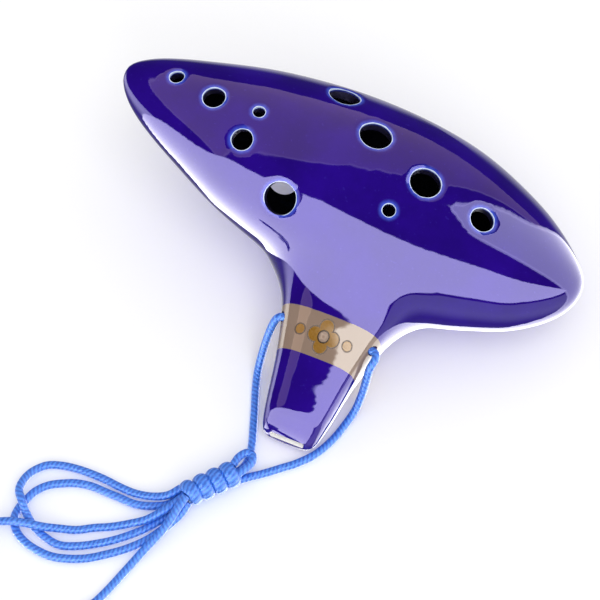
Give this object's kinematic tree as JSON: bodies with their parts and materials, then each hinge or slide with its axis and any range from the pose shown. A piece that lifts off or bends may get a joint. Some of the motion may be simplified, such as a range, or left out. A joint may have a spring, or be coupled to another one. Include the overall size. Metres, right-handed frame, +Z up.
{
  "type": "ocarina",
  "caption": "Glazed ceramic transverse ocarina with finger holes, a banded mouthpiece and a knotted satin neck cord.",
  "frame": {"origin": "on the table, in the middle of the flat that the belly stands on", "axes": "+X along the chamber to its blunt end, -Y towards the mouthpiece's tip, +Z up"},
  "size_m": [0.1868, 0.2284, 0.0569],
  "materials": {
    "cobalt_glaze": "deep blue glaze, very glossy",
    "cream_glaze": "cream underglaze colour beneath a clear gloss",
    "ochre_glaze": "ochre underglaze colour beneath a clear gloss",
    "brown_line": "dark brown line beneath a clear gloss",
    "satin_cord": "satin cord with a lengthwise sheen",
    "dark_tie": "matt dark tie"
  },
  "bodies": {
    "ocarina": {"upper_shell": "cobalt_glaze", "lower_shell": "cobalt_glaze", "spout_roof": "cobalt_glaze", "spout_floor": "cobalt_glaze", "band": "cream_glaze", "emblem_petals": "ochre_glaze", "emblem_outline": "brown_line", "emblem_centre": "cream_glaze"},
    "neck_cord": {"cord_through_hole": "satin_cord", "cord_strand_left": "satin_cord", "cord_strand_right": "satin_cord", "knot_wraps": "satin_cord", "knot_bight": "satin_cord", "cord_loop_upper": "satin_cord", "cord_loop_lower": "satin_cord", "neck_cord_left": "satin_cord", "neck_cord_right": "satin_cord", "neck_cord_coil": "satin_cord", "coil_tie": "dark_tie"}
  },
  "joints": [
    {"name": "cord_swing", "type": "hinge", "parent": "ocarina", "child": "neck_cord", "pos_m": [0, -0.0515, 0.021], "axis": [-1, 0, 0], "range_deg": [0, 110]}
  ]
}
